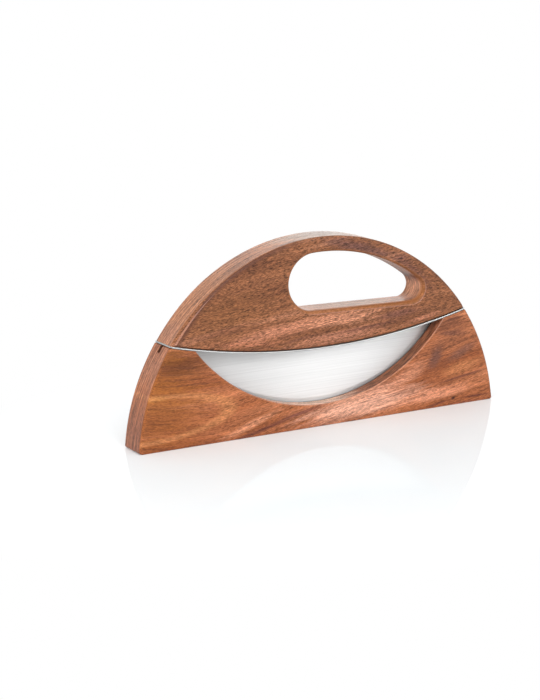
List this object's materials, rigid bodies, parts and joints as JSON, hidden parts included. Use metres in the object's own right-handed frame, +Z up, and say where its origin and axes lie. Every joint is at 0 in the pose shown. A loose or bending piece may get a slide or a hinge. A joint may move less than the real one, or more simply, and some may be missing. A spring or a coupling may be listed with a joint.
{
  "type": "mezzaluna with block",
  "caption": "Arched rocking knife with a wooden finger-hole handle, a steel seat plate and a crescent blade, standing in a matching slotted wooden block with a crescent window.",
  "frame": {"origin": "middle of the block's flat resting face", "axes": "+X along the blade towards the end with the finger hole, -Y the front, +Z up"},
  "size_m": [0.2804, 0.024, 0.131],
  "materials": {
    "block_wood": "oiled golden-brown hardwood with open grain",
    "handle_wood": "oiled brown hardwood with dark pores",
    "plate_steel": "bright brushed stainless",
    "blade_steel": "fine lengthwise brushed stainless",
    "screw_steel": "satin stainless"
  },
  "bodies": {
    "block": {"block": "block_wood"},
    "knife": {"handle": "handle_wood", "bolster_plate": "plate_steel", "blade": "blade_steel", "plate_screw_1": "screw_steel", "plate_screw_2": "screw_steel", "plate_screw_3": "screw_steel", "plate_screw_4": "screw_steel", "plate_screw_5": "screw_steel", "plate_screw_6": "screw_steel"}
  },
  "joints": [
    {"name": "knife_lift", "type": "slide", "parent": "block", "child": "knife", "axis": [0, 0, 1], "range_m": [0, 0.07]}
  ]
}
